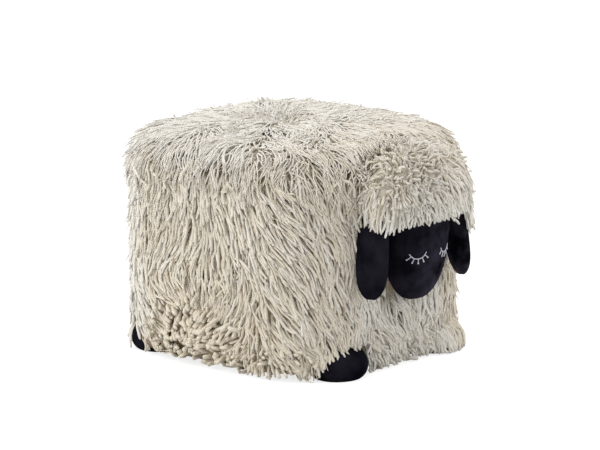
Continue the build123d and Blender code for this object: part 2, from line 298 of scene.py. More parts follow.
# The second colour is the painted sheen.
velvet = velvet_finish("velvet", (0.0010, 0.0009, 0.0022), (0.066, 0.061, 0.086))
canvas = woven_finish("canvas", (0.66, 0.61, 0.52), (0.42, 0.37, 0.29), 1100)
lining = woven_finish("lining", (0.84, 0.82, 0.78), (0.66, 0.63, 0.58), 2200, 0.12 * MM)
tape_cloth = woven_finish("zip tape", (0.58, 0.53, 0.44), (0.36, 0.32, 0.25), 1900, 0.15 * MM)

# %% [markdown]
# ## Beads, plastic, metal and thread
# The filling is a mass of light beads, so cells stand up from its surface. The zip's teeth are
# moulded plastic with a slightly worn top, and its slider is metal with a fine grain. The eyes
# are embroidered in a thread with a soft gloss.

# %% Hard and fibrous materials
def bead_finish(name, light, dark, beads_per_metre):
    """Packed round beads, with shade painted darker towards their edges, where they meet."""
    finish = Finish(name)
    where = finish.place()
    cells = finish.node("ShaderNodeTexVoronoi", sockets={"Vector": where, "Scale": beads_per_metre})
    colour = finish.mix((cells * 1.3).clamped(), light, dark)
    return finish.done(colour, 0.6 + cells * 0.2, finish.bump(1 - cells, 1.5 * MM))


def plastic_finish(name, light, worn):
    """Moulded plastic, paler where it has rubbed."""
    finish = Finish(name)
    where = finish.place()
    rub = finish.noise(where, 240.0, 3.0)
    colour = finish.mix((rub * 2.2 - 0.8).clamped(), light, worn)
    return finish.done(colour, 0.42 + rub * 0.2, finish.bump(rub, 0.05 * MM),
                       Specular_IOR_Level=0.5)


def metal_finish(name, bright, dull):
    """Brushed metal with a grain across the zip and duller patches."""
    finish = Finish(name)
    grain = finish.noise(finish.place((90.0, 2500.0, 900.0)), 1.0, 2.0)
    patches = finish.noise(finish.place(), 300.0, 2.0)
    colour = finish.mix(patches, bright, dull)
    return finish.done(colour, 0.26 + patches * 0.22, finish.bump(grain, 0.03 * MM), Metallic=1.0)


def thread_finish(name, light, shade):
    """Embroidery thread with a soft gloss."""
    finish = Finish(name)
    fibre = finish.noise(finish.place((2600.0, 900.0, 900.0)), 1.0, 2.0)
    colour = finish.mix(fibre * 0.6, light, shade)
    return finish.done(colour, 0.42 + fibre * 0.2, finish.bump(fibre, 0.08 * MM), Sheen_Weight=0.3)


beads = bead_finish("bead filling", (0.88, 0.88, 0.86), (0.55, 0.55, 0.53), 260.0)
wadding = felt_finish("wadding", (0.88, 0.88, 0.87), (0.62, 0.62, 0.61))
teeth_plastic = plastic_finish("zip teeth", (0.52, 0.47, 0.38), (0.66, 0.61, 0.52))
slider_metal = metal_finish("zip metal", (0.66, 0.65, 0.62), (0.42, 0.41, 0.39))
eye_thread = thread_finish("eye thread", (0.72, 0.71, 0.80), (0.46, 0.45, 0.53))
print("materials", len(bpy.data.materials))

# %% [markdown]
# ## The wool's outer form
# A yarn lies on the form below it, bends over an edge and hangs. Following thousands of them
# needs a quick answer to one question: how far is a point from the outer form? A signed
# distance gives it. The block is a rounded rectangle with a rounded top edge, and the cap is
# half an ellipsoid that goes straight down below its widest level.

# %% Signed distances
def rounded(first, second, radius):
    """Distance to the corner between two surfaces, rounded by a radius."""
    a = first + radius
    b = second + radius
    return np.minimum(np.maximum(a, b), 0) + np.hypot(np.maximum(a, 0), np.maximum(b, 0)) - radius


def block_distance(p):
    """Distance from the block's outer form, negative inside. It has no underside."""
    side_x = np.abs(p[..., 0] - body_middle.x) - body_half.x
    side_y = np.abs(p[..., 1] - body_middle.y) - body_half.y
    side = rounded(side_x, side_y, corner_radius)
    out = (p[..., 0] - body_middle.x) ** 2 + (p[..., 1] - body_middle.y) ** 2
    crown = body_top - crown_rise * out / body_half.y**2
    return rounded(side, p[..., 2] - crown, top_round)


def cap_distance(p):
    """Distance from the cap's outer form, negative inside. It has no underside."""
    q = p - np.array(cap_middle)
    q[..., 2] = np.maximum(q[..., 2], 0)
    scaled = np.linalg.norm(q / np.array(cap_half), axis=-1) + 1e-9
    steep = np.linalg.norm(q / np.array(cap_half) ** 2, axis=-1) + 1e-9
    return scaled * (scaled - 1) / steep


# %% Both forms together, and the way out of them
blend_radius = 18 * MM


def wool_distance(p):
    """Distance from block and cap together, with a soft valley where they meet."""
    block, cap = block_distance(p), cap_distance(p)
    overlap = np.clip(1 - np.abs(block - cap) / blend_radius, 0, 1)
    return np.minimum(block, cap) - blend_radius * overlap**2 / 4


def unit(vectors, soft=0.0):
    """Vectors of length one. Those that are shorter than a soft length stay shorter."""
    return vectors / (np.linalg.norm(vectors, axis=-1, keepdims=True) + soft)


def outward(p, distance=wool_distance):
    """Unit direction straight away from a form."""
    axes = np.eye(3) * 0.5 * MM
    slope = np.stack([distance(p + axis) - distance(p - axis) for axis in axes], -1)
    return unit(slope, 1e-12)


box_corner = np.array([band_low])
corner_off = float(wool_distance(box_corner)[0])
print("the box's corner lies", round(corner_off / MM, 1), "mm out of the wool")

# %% [markdown]
# ## Where the yarns grow
# Yarns are tufted at even distances, never exactly. Random points over the outer faces of the
# solids, thinned until no two are too close, give that. Places that the head or the cap covers
# get none.

# %% Scatter roots over the solids
rng = np.random.default_rng(20)
root_spacing = {
    "side": 4.4 * MM,
    "seat": 4.0 * MM,
    "cap": 3.9 * MM,
    "ridge": 8.5 * MM,
    "whorl": 6.8 * MM,
    "hem": 6.2 * MM,
    "parting": 4.4 * MM,
    "crown": 4.4 * MM,
}


def triangles_of(node):
    """Corners of a solid's triangles."""
    mesh = nodes[node].data
    mesh.calc_loop_triangles()
    corners = np.zeros(len(mesh.loop_triangles) * 3, np.int32)
    mesh.loop_triangles.foreach_get("vertices", corners)
    places = np.zeros(len(mesh.vertices) * 3, np.float32)
    mesh.vertices.foreach_get("co", places)
    return places.reshape(-1, 3)[corners.reshape(-1, 3)].astype(float)


def scatter(names, spacing, distance):
    """Points at least a spacing apart on the outer faces of some solids."""
    triangles = np.concatenate([triangles_of(node) for node in names])
    triangles = triangles[np.abs(distance(triangles.mean(1))) < 5 * MM]
    across = np.cross(triangles[:, 1] - triangles[:, 0], triangles[:, 2] - triangles[:, 0])
    area = np.linalg.norm(across, axis=1) / 2
    tries = int(5 * area.sum() / spacing**2)
    chosen = rng.choice(len(area), tries, p=area / area.sum())
    u, v = rng.random(tries), rng.random(tries)
    flip = u + v > 1
    u[flip], v[flip] = 1 - u[flip], 1 - v[flip]
    t = triangles[chosen]
    points = t[:, 0] + u[:, None] * (t[:, 1] - t[:, 0]) + v[:, None] * (t[:, 2] - t[:, 0])
    return points[thinned(points, spacing)]


def tree_of(points):
    """Tree in which the nearest of some points is found fast."""
    tree = KDTree(len(points))
    for index, point in enumerate(points):
        tree.insert(point, index)
    tree.balance()
    return tree


def thinned(points, spacing):
    """Indices of points of which no two are closer than a spacing."""
    tree = tree_of(points)
    free = np.ones(len(points), bool)
    kept = []
    for index, point in enumerate(points):
        if free[index]:
            kept.append(index)
            for _, near, _ in tree.find_range(point, spacing):
                free[near] = False
    return np.array(kept)


side_roots = scatter(band_nodes, root_spacing["side"], block_distance)
top_roots = scatter(["wool_top_panel"], root_spacing["seat"], block_distance)
cap_roots = scatter(["head_wool_cap"], root_spacing["cap"], cap_distance)
print("roots", len(side_roots), len(top_roots), len(cap_roots))

# %% [markdown]
# ## Which way the wool lies
# Wool on a block falls outwards over the top edge and then hangs. This pile was also brushed
# forwards and down along the sides towards the head. Low on each side it runs together in a
# whorl, and on the crown it parts all round. One field of directions says all that, and slow
# noise keeps neighbours alike without making them equal.

# %% Slow noise and smooth steps
def slow_noise(p, size, seed):
    """Three values between about -1 and 1 that change over a stated distance."""
    waves = np.random.default_rng(seed)
    total = np.zeros(p.shape)
    for _ in range(7):
        run = waves.normal(size=3)
        run *= math.tau / size * waves.uniform(0.7, 1.5) / np.linalg.norm(run)
        phase = waves.uniform(0, math.tau, 3)
        total += np.sin((p @ run)[..., None] + phase)
    return total / 3


def ramp(value, start, end):
    """0 before a start, 1 after an end and smooth between them."""
    share = np.clip((value - start) / (end - start), 0, 1)
    return share * share * (3 - 2 * share)


def bell(value, middle, width):
    """1 in the middle, next to nothing two widths away from it."""
    return np.exp(-(((value - middle) / width) ** 2))


# %% Flow of the pile
whorl = Vector((band_low.x, body_middle.y + 18 * MM, 50 * MM))
whorl_reach = np.array((60, 92, 64)) * MM
parting = Vector((25 * MM, body_middle.y + 60 * MM, body_top))
parting_reach = 45 * MM
crown_whorl = Vector((-50 * MM, cap_front + 30 * MM, 304 * MM))
seat_bend = (262 * MM, 316 * MM)
flat_seat = (322 * MM, 334 * MM)
towards_head = (-70 * MM, 170 * MM)
upper_sides = (190 * MM, 290 * MM)
crown_levels = (285 * MM, 330 * MM)
tangle_levels = (262 * MM, 292 * MM)
edge_level = 311 * MM
edge_reach = 17 * MM
forward_lean = 0.95
whorl_pull = 1.7
crown_pull = 0.65


def from_whorl(p):
    """Way from the whorl on the nearer side, and how strongly a point belongs to it."""
    way = p - np.array(whorl)
    way[..., 0] = -np.abs(p[..., 0]) - whorl.x
    share = np.exp(-((way / whorl_reach) ** 2).sum(-1))
    way[..., 0] *= -np.sign(p[..., 0])
    return way, share


def block_flow(p):
    """Direction in which the pile of the block is pulled, not yet unit length."""
    height = p[..., 2]
    top = ramp(height, *seat_bend)
    out = p - np.array(body_middle) - np.array(parting - body_middle) * top[..., None]
    out[..., 2] = 0
    flow = unit(out, 30 * MM) * (0.3 + 0.9 * top)[..., None]
    flow += slow_noise(p, 120 * MM, seed=4) * (0.6 * ramp(height, *flat_seat))[..., None]
    flow[..., 2] -= 1.0
    forward = ramp(-(p[..., 1] - body_middle.y), *towards_head)
    upper = ramp(height, *upper_sides)
    flow[..., 1] -= forward_lean * forward * (1 - top) * (1 - 0.45 * upper)
    way, share = from_whorl(p)
    pull = share**0.4
    flow -= unit(way, 8 * MM) * (whorl_pull * pull)[..., None]
    flow[..., 2] += 0.8 * pull
    edge = bell(height, edge_level, edge_reach)
    flow += slow_noise(p, 110 * MM, seed=5) * 0.32
    flow += slow_noise(p, 34 * MM, seed=6) * (0.28 + 0.4 * edge)[..., None]
    flow += slow_noise(p, 21 * MM, seed=9) * (0.08 + 0.6 * edge)[..., None]
    return flow


def cap_flow(p):
    """Direction in which the pile of the cap is pulled."""
    flow = unit(p - np.array(crown_whorl), 30 * MM) * crown_pull
    flow[..., 2] -= 1.1 - 0.6 * ramp(p[..., 2], *crown_levels)
    tangle = 0.12 + 0.7 * ramp(p[..., 2], *tangle_levels)
    return flow + slow_noise(p, 30 * MM, seed=8) * tangle[..., None]


front_corner = np.array([[band_high.x, band_low.y, body_middle.z]])
print("at the front corner the pile runs", unit(block_flow(front_corner))[0].round(2))

# %% [markdown]
# ## Following one yarn, thousands at once
# A yarn leaves its root, rises to a level of its own in the pile, turns into the flow and stops
# with its tip a little lifted. Blender's hair tools could grow them too, but here each yarn has
# to keep its own distance from the form and end in a mesh with a map. So the yarns are traced
# in numpy, all at once, in small steps. Felted yarns cling together, so their tips are drawn to
# a guide yarn nearby.

# %% Trace the yarns
steps = 20
root_depth = 13 * MM
floor_clearance = 3 * MM


def traced(roots, distance, flow, length, upright, level, flick, stray, grip=0.38):
    """Paths of yarns from their roots, as an array of yarns by steps by three."""
    count = len(roots)
    normal = outward(roots, distance)
    place = roots - normal * root_depth
    own_way = rng.normal(size=(count, 3)) * stray
    bend = rng.normal(size=(count, 3)) * stray * 1.3
    phase = rng.uniform(0, math.tau, count)
    heading = unit(normal * upright[:, None] + flow(place) * 0.4 + own_way)
    paths = [place]
    for index in range(1, steps):
        share = index / (steps - 1)
        normal = outward(place, distance)
        wave = np.sin(phase + share * 5.5)[:, None]
        pull = flow(place) + own_way * 2 + bend * wave * 2
        pull -= normal * (pull * normal).sum(1, keepdims=True)
        aim = level + (flick - level) * share**2.2
        rise = np.clip((aim - distance(place)) / (8 * MM), -0.6, 1.0)
        turned = unit(pull, 1e-9) + normal * rise[:, None]
        heading = unit(heading * (1 - grip) + turned * grip)
        place = place + heading * (length / (steps - 1))[:, None]
        over = np.maximum(distance(place) - np.maximum(flick, level) - 1.5 * MM, 0)
        place = place - outward(place, distance) * over[:, None]
        place[:, 2] = np.maximum(place[:, 2], floor_clearance)
        paths.append(place)
    return np.stack(paths, 1)


def clumped(paths, roots, spacing, least=0.0, most=0.38):
    """Draw each yarn's tip towards the nearest guide yarn."""
    guides = thinned(roots, spacing)
    tree = tree_of(roots[guides])
    nearest = guides[[tree.find(root)[1] for root in roots]]
    share = np.linspace(0, 1, steps) ** 1.5
    pull = rng.uniform(least, most, len(roots))[:, None] * share
    return paths + (paths[nearest] - paths) * pull[..., None]


# %% [markdown]
# ## Where a yarn ends
# The hem is ragged, so each yarn stops at a height of its own above the floor. The wool also
# falls over the feet: it covers the inner front side of the front left foot and the outer rear
# part of the front right one, and leaves the outer ends of the rear feet bare. Each path is cut
# where it meets such a limit and then thinned to a few points, because every point costs eight
# triangles on thousands of yarns. The last two points lie close together and round off the tip.

# %% How high the wool leaves each foot bare
barely_bare = 6 * MM
slant = (0.64, 0.77)
bare_front = 46 * MM
bare_rear = 54 * MM


def foot_reach(p, name):
    """Share of the way from a foot's middle to its surface, 1 on the surface."""
    low, high = foot_box[name]
    half = np.array((high - low) / 2)
    middle = np.array((low + high) / 2)
    middle[2] = high.z * 0.32
    half[2] = high.z * 0.68
    q = (p - middle) / half
    q[..., 2] = np.maximum(q[..., 2], 0)
    return np.linalg.norm(q, axis=-1), middle


def bare_height(p, name):
    """Height up to which the wool, which hangs aslant, leaves a foot bare at a place."""
    _, middle = foot_reach(p, name)
    along = (abs(middle[0]) - np.abs(p[..., 0])) * slant[0] - (p[..., 1] - middle[1]) * slant[1]
    if name == "front_right":
        return np.clip(36 * MM + 0.62 * along, barely_bare + 1 * MM, bare_front)
    if name == "front_left":
        away = (p[..., 0] - middle[0]) * slant[1] + (p[..., 1] - middle[1]) * slant[0]
        return np.clip(barely_bare + 1.6 * (away - 12 * MM), barely_bare, bare_front)
    return np.clip(8 * MM - 1.2 * along, barely_bare, bare_rear)


# %% Cut and thin the paths
kept_shares = np.array((0.0, 0.2, 0.4, 0.6, 0.8, 0.95, 1.0))
points_kept = len(kept_shares)
hem_heights = (2.5, 14)
hem_ruffles = (1.03, 1.10)
bare_ragged = 3
bold_share = 0.10
outer_part = 10 * MM
rear_reach = 2.2
near_reach = 0.98
above_foot = 8 * MM


def first_true(stop):
    """Index of the first step at which each yarn has to stop."""
    return np.where(stop.any(1), stop.argmax(1), steps - 1).astype(float)


def thinned_paths(paths, end=None):
    """Yarns cut at a step of their own, or whole, resampled to the points that are kept."""
    if end is None:
        end = np.full(len(paths), steps - 1.0)
    wanted = end[:, None] * kept_shares
    before = np.minimum(wanted.astype(int), steps - 2)
    share = (wanted - before)[..., None]
    row = np.arange(len(paths))[:, None]
    return paths[row, before] * (1 - share) + paths[row, before + 1] * share


def ended_low(paths):
    """Last step of each yarn above the hem and the feet, and the paths laid over the feet."""
    count = len(paths)
    hem = rng.uniform(*hem_heights, count)[:, None] * MM
    ruffle = rng.uniform(*hem_ruffles, count)[:, None]
    own = rng.normal(size=(count, 1)) * bare_ragged * MM
    bold = (rng.random(count) < bold_share)[:, None]
    stop = paths[..., 2] < hem
    for name in feet:
        reach, middle = foot_reach(paths, name)
        low, high = foot_box[name]
        half = (high - low) / 2
        off = paths - middle
        across = np.hypot(off[..., 0] / half.x, off[..., 1] / half.y)
        beyond = np.abs(paths[..., 0]) > abs(middle[0]) + outer_part
        reached = np.where(beyond & name.startswith("rear"), rear_reach, near_reach)
        bare = (across < reached) & (paths[..., 2] < bare_height(paths, name) + own)
        stop |= bare & ~(bold & name.startswith("rear"))
        lift = np.maximum(ruffle / np.maximum(reach, 0.4), 1)[..., None]
        laid = middle + off * lift
        laid[..., 2] = np.maximum(laid[..., 2], floor_clearance)
        paths = np.where((paths[..., 2] < high.z + above_foot)[..., None], laid, paths)
    return first_true(stop), paths


print("a yarn is traced in", steps, "steps and keeps", points_kept, "points")

# %% [markdown]
# ## Yarns as mesh
# A curve with a round bevel makes the tube, its caps and a map along each yarn in one step.
# Four sides are enough for a yarn a few millimetres thick that is shaded smooth. The map is
# then moved to the yarn's tint column, and the caps are joined to the sides.

# %% Helpers that make a piece
pieces = {}


def placed(name, data):
    """New object in the scene for a mesh, a curve, a lamp or a camera."""
    made = bpy.data.objects.new(name, data)
    bpy.context.scene.collection.objects.link(made)
    return made


def keep(name, mesh, material, body="pouf"):
    """Object for a finished mesh, riding on a body."""
    piece = placed(name, mesh)
    mesh.materials.clear()
    mesh.materials.append(material)
    if body:
        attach(piece, body)
    pieces[name] = piece
    return piece


def evaluated_mesh(source):
    """Mesh of an object with its modifiers or bevel applied, after which the object goes."""
    graph = bpy.context.evaluated_depsgraph_get()
    mesh = bpy.data.meshes.new_from_object(source.evaluated_get(graph), depsgraph=graph)
    data = source.data
    bpy.data.objects.remove(source)
    if isinstance(data, bpy.types.Curve):
        bpy.data.curves.remove(data)
    else:
        bpy.data.meshes.remove(data)
    return mesh


def welded(mesh):
    """The mesh with its doubled points joined and its faces shaded smooth."""
    form = bmesh.new()
    form.from_mesh(mesh)
    bmesh.ops.remove_doubles(form, verts=form.verts, dist=1e-6)
    for face in form.faces:
        face.smooth = True
    form.to_mesh(mesh)
    form.free()
    return mesh


# %% A mesh of yarns with its map
def yarn_mesh(name, paths, radii, columns):
    """Closed tubes along paths, with a map of tint column across and length up."""
    curve = bpy.data.curves.new(name, "CURVE")
    curve.dimensions = "3D"
    curve.bevel_depth = 1.0
    curve.bevel_resolution = 0
    curve.use_fill_caps = True
    ones = np.ones((points_kept, 1))
    for path, radius in zip(paths, radii):
        spline = curve.splines.new("POLY")
        spline.points.add(points_kept - 1)
        spline.points.foreach_set("co", np.hstack((path, ones)).ravel())
        spline.points.foreach_set("radius", radius)
    mesh = evaluated_mesh(placed(name, curve))
    count = len(paths)
    cap_loops, side_loops = 12, 16 * (points_kept - 1)
    own_map = np.zeros(len(mesh.loops) * 2, np.float32)
    mesh.uv_layers[0].data.foreach_get("uv", own_map)
    own_map = own_map.reshape(-1, 2)
    caps = count * cap_loops
    along = own_map[:, 0].copy()
    around = own_map[:, 1].copy()
    along[:caps] = np.tile(np.repeat((1.0, 0.0), cap_loops // 2), count)
    around[:caps] = 0.5
    column = np.concatenate((np.repeat(columns, cap_loops), np.repeat(columns, side_loops)))
    while mesh.uv_layers:
        mesh.uv_layers.remove(mesh.uv_layers[0])
    layer = mesh.uv_layers.new(name=bake_map)
    inset = 0.04 + 0.92 * around
    layer.data.foreach_set("uv", np.stack(((column + inset) / yarn_columns, along), 1).ravel())
    return welded(mesh)


# %% Tints, and the yarns divided into pieces
most_yarns = 3800
widths = (0.80, 1.16)
tint_scatter = 4.0
seat_level = (314 * MM, 334 * MM)
seat_front = (0, 140 * MM)
rear_side = (100 * MM, 165 * MM)
low_wool = (-110 * MM, -20 * MM)
yarn_profile = np.array((0.8, 1.0, 1.04, 1.02, 1.0, 0.95, 0.62))
above_floor = 0.3 * MM
thickness = {
    "side": 4.5 * MM,
    "seat": 2.9 * MM,
    "ridge": 5.6 * MM,
    "whorl": 7.2 * MM,
    "hem": 5.6 * MM,
    "parting": 3.6 * MM,
    "cap": 3.8 * MM,
    "crown": 4.3 * MM,
}


def paleness(p):
    """How pale the wool is: palest on the cap and the rear of the seat, warmest low down. On the
    seat and the rear side the extra paleness is painted light.
    """
    _, share = from_whorl(p)
    on_seat = ramp(p[:, 2], *seat_level)
    # Painted light: the seat, less so at its front, and the rear side are made paler, as light
    # washes over them from above and behind.
    pale = 0.40 + 0.55 * on_seat
    pale -= 0.45 * on_seat * ramp(body_middle.y - p[:, 1], *seat_front)
    pale += 0.55 * ramp(p[:, 1] - body_middle.y, *rear_side)
    pale += 0.46 * (cap_distance(p) < 2 * MM)
    pale -= 0.52 * share**0.5 + 0.14 * ramp(-p[:, 2], *low_wool)
    return pale


def yarn_pieces(name, paths, roots, thick, taper=0.15, body="pouf"):
    """Yarns divided over pieces that hold at most a set number of yarns each. Yarns
    divided over as many pieces as the triangle limit asks for.
    """
    count = len(paths)
    radius = rng.uniform(*widths, count) * thick / 2
    narrowing = 1 - np.broadcast_to(taper, count)[:, None] * kept_shares**2
    radii = radius[:, None] * yarn_profile * narrowing
    paths = np.dstack((paths[..., :2], np.maximum(paths[..., 2], radii + above_floor)))
    wanted = paleness(roots) * yarn_columns + rng.normal(size=count) * tint_scatter
    columns = np.clip(wanted, 0, yarn_columns - 1).astype(int)
    parts = math.ceil(count / most_yarns)
    made = []
    for part in range(parts):
        chosen = slice(part, None, parts)
        label = f"{name}_{part + 1}" if parts > 1 else name
        mesh = yarn_mesh(label, paths[chosen], radii[chosen], columns[chosen])
        made.append(keep(label, mesh, wool_yarn, body))
    print(name, count, "yarns in", parts, "pieces")
    return made


# %% [markdown]
# ## The sides' pile
# The yarns of the sides hang over each other like tiles, so that of each one only the last few
# centimetres show, with a tip that lifts a little. Some stray from the pile and break the
# outline, most of all at the corner beside the head. Those are thinner, as loose fibre is. None
# grow where the head is sewn on, and in the whorls they are cut back. Pairs of numbers are
# ranges in millimetres, from which each yarn draws its own.

# %% Roots of the side yarns
sewn_half_width = 48 * MM
sewn_levels = (122 * MM, 290 * MM)
side_roots = side_roots[cap_distance(side_roots) * (side_roots[:, 2] > cap_rim) > -6 * MM]
behind_head = np.abs(side_roots[:, 0]) < sewn_half_width
behind_head &= side_roots[:, 1] < band_low.y + 3 * MM
behind_head &= (side_roots[:, 2] > sewn_levels[0]) & (side_roots[:, 2] < sewn_levels[1])
side_roots = side_roots[~behind_head]
in_whorl = from_whorl(side_roots)[1]
side_roots = side_roots[rng.random(len(side_roots)) > 2.4 * in_whorl - 0.7]
print("side roots kept", len(side_roots))

# %% Side yarns
side_lengths = (38, 60)
side_levels = (-8.5, 1.0)
side_lifts = (0.5, 8)
side_highest = 19 * MM
over_foot = 20 * MM
foot_zone = 90 * MM
low_down = 110 * MM
cut_share = 0.62


def with_wisps(flick, chance, least, most, highest=math.inf):
    """Lift the tips of some yarns. Gives the levels of the tips, and which ones are lifted."""
    wisps = rng.random(len(flick)) < chance
    flick[wisps] += rng.uniform(least, most, wisps.sum()) * MM
    return np.minimum(flick, highest), wisps


in_whorl = from_whorl(side_roots)[1]
x, y, z = side_roots.T
count = len(side_roots)
length = rng.uniform(*side_lengths, count) * MM * (1 - 0.3 * in_whorl)
foot_x = (foot_box["front_left"][0].x + foot_box["front_left"][1].x) / 2
foot_y = -150 * MM
length += over_foot * (np.hypot(x - foot_x, y - foot_y) < foot_zone) * (z < low_down)
level = rng.uniform(*side_levels, count) * MM
flick = level + (rng.uniform(*side_lifts, count) + 3 * ramp(z, 200 * MM, 300 * MM)) * MM
far_corner = (x > 90 * MM) & (y < body_middle.y - 60 * MM)
flick, wisps = with_wisps(flick, np.where(far_corner, 0.36, 0.12), 5, 14, side_highest)
length[wisps] *= 1.1
upright = 0.5 + 0.9 * in_whorl
side_paths = traced(side_roots, block_distance, block_flow, length, upright, level, flick, 0.10)
side_paths = clumped(side_paths, side_roots, 14 * MM)
side_end, side_paths = ended_low(side_paths)
cut_back = first_true(from_whorl(side_paths)[1] > cut_share) + 2
side_end = np.minimum(side_end, cut_back)

long_enough = side_end > 6
side_roots = side_roots[long_enough]
side_yarns = thinned_paths(side_paths[long_enough], side_end[long_enough])
side_thick = thickness["side"] * np.where(wisps, 0.58, 1.0)[long_enough]
side_taper = np.where(wisps, 0.5, 0.12)[long_enough]
print("side yarns", len(side_yarns), "of them lifted", int(wisps[long_enough].sum()))

# %% [markdown]
# ## The seat's pile
# The seat's yarns are finer and painted paler for the light that falls on the seat, gather into
# tufts, and stand up along its rim. How near the rim a root is shows when it is lowered to half
# way up the block, where the sides are upright.

# %% Seat yarns
seat_lengths = (44, 72)
seat_levels = (-3, 1.5)
seat_lifts = (0.0, 3)
seat_highest = 22 * MM
tuft_spacing = 17 * MM
half_way_up = (0, 0, 0.2)
rim_zone = (75 * MM, 30 * MM)
top_roots = top_roots[cap_distance(top_roots) > -6 * MM]
count = len(top_roots)
rim = ramp(np.abs(block_distance(top_roots * (1, 1, 0) + half_way_up)), *rim_zone)
length = rng.uniform(*seat_lengths, count) * MM
level = (rng.uniform(*seat_levels, count) + 3 * rim) * MM
flick = level + (rng.uniform(*seat_lifts, count) + 7 * rim) * MM
flick, wisps = with_wisps(flick, 0.05 + 0.35 * rim, 7, 19, seat_highest)
upright = np.full(count, 0.6)
top_paths = traced(top_roots, wool_distance, block_flow, length, upright, level, flick, 0.11)
top_yarns = thinned_paths(clumped(top_paths, top_roots, tuft_spacing, 0.0, 0.6))
top_thick = thickness["seat"] * np.where(wisps, 0.66, 1.0)

yarn_pieces("wool_side_pile", side_yarns, side_roots, side_thick, side_taper)
yarn_pieces("wool_top_pile", top_yarns, top_roots, top_thick, 0.4)

# %% [markdown]
# ## Curls along the top edge
# Where the seat bends into the sides the real pile is tangled. Thicker yarns with tight curls
# give that. Those above the ears may not hang down to where the ears swing.

# %% Ridge yarns
ridge_level = 300 * MM
ridge_reach = 17 * MM
ridge_share = 0.6
ridge_lengths = (40, 66)
ridge_levels = (0, 7)
ear_room = 274 * MM
ear_side = 60 * MM
ear_front = 110 * MM


def ridge_flow(p):
    """The block's flow with tight curls in it."""
    return block_flow(p) + slow_noise(p, 30 * MM, seed=21) * 1.5


ridge_roots = scatter(band_nodes, root_spacing["ridge"], block_distance)
on_ridge = np.abs(ridge_roots[:, 2] - ridge_level) < ridge_reach
on_ridge &= cap_distance(ridge_roots) > 4 * MM
ridge_roots = ridge_roots[on_ridge & (rng.random(len(ridge_roots)) < ridge_share)]
count = len(ridge_roots)
length = rng.uniform(*ridge_lengths, count) * MM
level = rng.uniform(*ridge_levels, count) * MM
upright = np.full(count, 0.9)
flick = level + 3 * MM
ridge_paths = traced(ridge_roots, wool_distance, ridge_flow, length, upright, level, flick, 0.3)
near_ear = np.abs(ridge_roots[:, 0]) > ear_side
near_ear &= ridge_roots[:, 1] < body_middle.y - ear_front
clear = ~near_ear | (ridge_paths[..., 2].min(1) > ear_room)
ridge_yarns = thinned_paths(ridge_paths[clear])
yarn_pieces("wool_ridge_pile", ridge_yarns, ridge_roots[clear], thickness["ridge"])

# %% [markdown]
# ## Yarns that stand up
# Where the pile runs together or parts, the yarns stand up, and one looks at their blunt ends.
# They are short and thick, and their grip on the flow is weak. In the whorl they are the
# thickest, with dark gaps between them, and along the hem they curl out.

# %% How a standing yarn grows
standing_shares = (0.68, 1.0)
standing_levels = (1, 8)


def standing_yarns(roots, distance, flow, lean, longest=30 * MM):
    """Short yarns that stand out of the pile with their ends to the outside."""
    count = len(roots)
    length = rng.uniform(*standing_shares, count) * longest
    level = rng.uniform(*standing_levels, count) * MM
    upright = np.full(count, 1.7)
    paths = traced(roots, distance, flow, length, upright, level, level + 3 * MM, lean, grip=0.07)
    return clumped(paths, roots, 11 * MM, 0.0, 0.3)


def chosen_share(roots, share):
    """Random choice of roots in which each one has its own chance."""
    return roots[rng.random(len(roots)) < share]


def parting_share(p):
    """How strongly a point of the seat belongs to the parting there."""
    return np.exp(-((p - np.array(parting))[..., :2] ** 2).sum(-1) / parting_reach**2)


def low_standing(name, roots, longest, thick):
    """Standing yarns of the side, ended above the hem and the feet."""
    paths = standing_yarns(roots, block_distance, block_flow, 0.26, longest)
    end, paths = ended_low(paths)
    kept = end > 8
    yarn_pieces(name, thinned_paths(paths[kept], end[kept]), roots[kept], thick, 0.0)


# %% Short upright yarns in the whorls, along the hem and in the parting
whorl_roots = scatter(band_nodes, root_spacing["whorl"], block_distance)
in_whorl = from_whorl(whorl_roots)[1]
whorl_roots = chosen_share(whorl_roots, 3.2 * in_whorl - 0.9)
low_standing("wool_whorl_pile", whorl_roots, 37 * MM, thickness["whorl"])

hem_roots = scatter(band_nodes, root_spacing["hem"], block_distance)
in_whorl = from_whorl(hem_roots)[1]
hem_zone = (-66 * MM, -36 * MM)
hem_share = 0.5 * ramp(-hem_roots[:, 2], *hem_zone) * (in_whorl < 0.6)
hem_roots = chosen_share(hem_roots, hem_share)
low_standing("wool_hem_pile", hem_roots, 32 * MM, thickness["hem"])

parting_roots = scatter(["wool_top_panel"], root_spacing["parting"], block_distance)
parting_roots = parting_roots[cap_distance(parting_roots) > 2 * MM]
share = np.clip(1.5 * parting_share(parting_roots) - 0.3, 0.04, 1)
parting_roots = chosen_share(parting_roots, share)
standing = thinned_paths(standing_yarns(parting_roots, block_distance, block_flow, 0.42))
yarn_pieces("wool_parting_pile", standing, parting_roots, thickness["parting"], 0.3)

# %% [markdown]
# ## The cap's pile and its fringe
# The cap's yarns are finer. They tangle on the crown and hang straight over the face, where
# they are trimmed. They hang lower over the ears, and lowest over the left one. The yarns that
# hang over the root of an ear have to follow the ear when it swings, so they are pieces of
# their own, which are not fixed to the block.

# %% Cap yarns
cap_lengths = (38, 62)
cap_levels = (-7, 1.5)
cap_lifts = (0, 6)
trim_level = 237 * MM
trim_ragged = 2.6
lower_right = 10 * MM
lower_left = 34 * MM
right_ear_zone = (62 * MM, 96 * MM)
left_ear_zone = (52 * MM, 84 * MM)


def crown_share(p, reach):
    """How strongly a point belongs to the whorl on the crown."""
    return np.exp(-((p - np.array(crown_whorl)) ** 2).sum(1) / reach**2)


